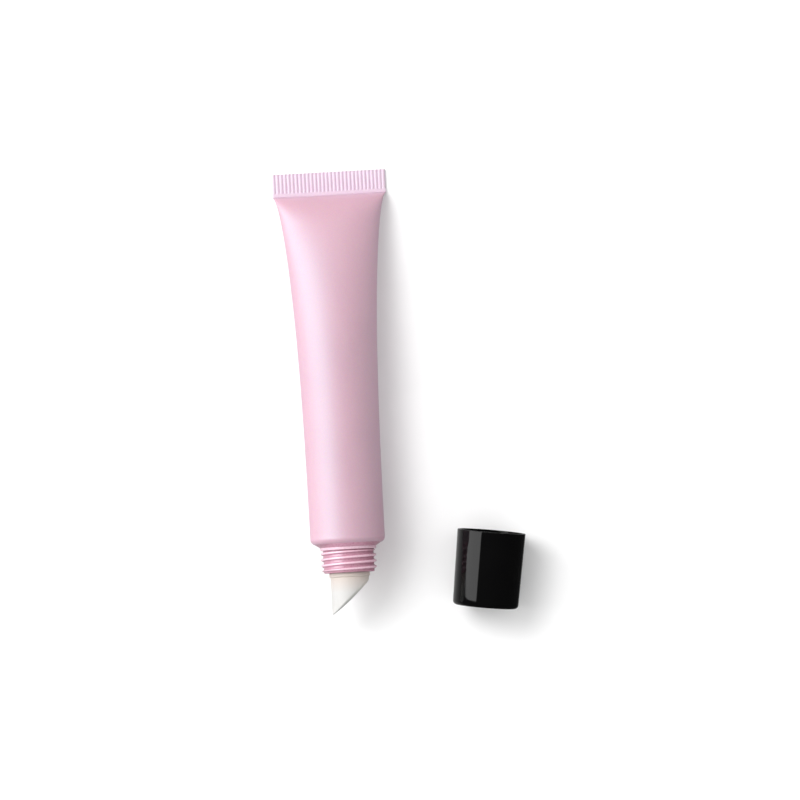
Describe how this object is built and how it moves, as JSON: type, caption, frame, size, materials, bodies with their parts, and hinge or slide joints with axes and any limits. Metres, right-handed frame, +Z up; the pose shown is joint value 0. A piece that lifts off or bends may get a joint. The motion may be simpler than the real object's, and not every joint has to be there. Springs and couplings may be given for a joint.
{
  "type": "lip gloss tube",
  "caption": "Soft squeeze tube of lip gloss lying open: crimped pearl sleeve, threaded neck and slanted applicator tip, with its glossy screw cap set down beside it.",
  "frame": {"origin": "on the table under the middle of the whole object's outline, tube and cap together", "axes": "+Z up from the table, +Y along the tube towards its crimped end, +X from the tube towards the cap"},
  "size_m": [0.0598, 0.114, 0.0202],
  "materials": {
    "pearl_sleeve": "satin",
    "pink_neck": "gloss",
    "frosted_tip": "satin",
    "gloss": "gloss",
    "glossy_cap": "gloss",
    "cap_liner": "satin",
    "seal": "matte"
  },
  "bodies": {
    "tube": {"tube_sleeve": "pearl_sleeve", "tube_head": "pink_neck", "applicator_tip": "frosted_tip"},
    "gloss": {"gloss_fill": "gloss"},
    "cap_seal": {"cap_gasket": "seal"},
    "cap": {"cap_shell": "glossy_cap", "cap_liner": "cap_liner"}
  },
  "joints": [
    {"name": "cap_draw", "type": "slide", "parent": "tube", "child": "gloss", "axis": [0, 0.999, -0.0436], "range_m": [0, 0.02248]},
    {"name": "cap_set_aside", "type": "hinge", "parent": "gloss", "child": "cap_seal", "pos_m": [0.12009, -0.20396, 0.1706], "axis": [-0.3116, 0.5599, 0.7677], "range_deg": [0, 10.06]},
    {"name": "cap_turn", "type": "hinge", "parent": "cap_seal", "child": "cap", "pos_m": [0.02134, -0.03691, 0.0087], "axis": [0.1357, 0.9906, 0.0176], "range_deg": [0, 5394.61]}
  ],
  "couplings": [
    {"joint": "cap_turn", "follows": "cap_draw", "rad_per_m": 4188.8}
  ]
}
